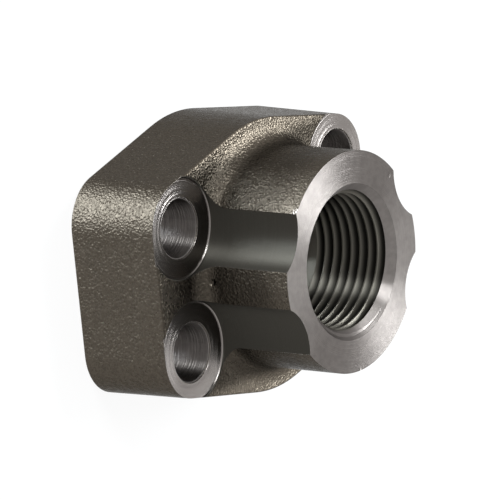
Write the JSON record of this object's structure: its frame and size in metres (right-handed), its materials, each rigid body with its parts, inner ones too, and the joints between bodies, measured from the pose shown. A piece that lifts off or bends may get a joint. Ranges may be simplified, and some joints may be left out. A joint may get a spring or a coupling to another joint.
{
  "type": "sae flange adapter",
  "caption": "Forged steel pipe flange adapter: a thick pad with a bolt hole in each corner and a round hub with a taper-threaded port, flat sealing face with a ring groove.",
  "frame": {"origin": "centre of the bore in the flat sealing face, the face that the part rests on", "axes": "+Z along the bore from the sealing face to the threaded mouth, +X along the wide bolt spacing, +Y along the narrow bolt spacing"},
  "size_m": [0.0638, 0.049, 0.0358],
  "materials": {
    "forged_steel": "shot-blasted dark forged skin, with machined faces, scallops and bores"
  },
  "bodies": {
    "root": {"flange_adapter": "forged_steel"}
  },
  "joints": []
}
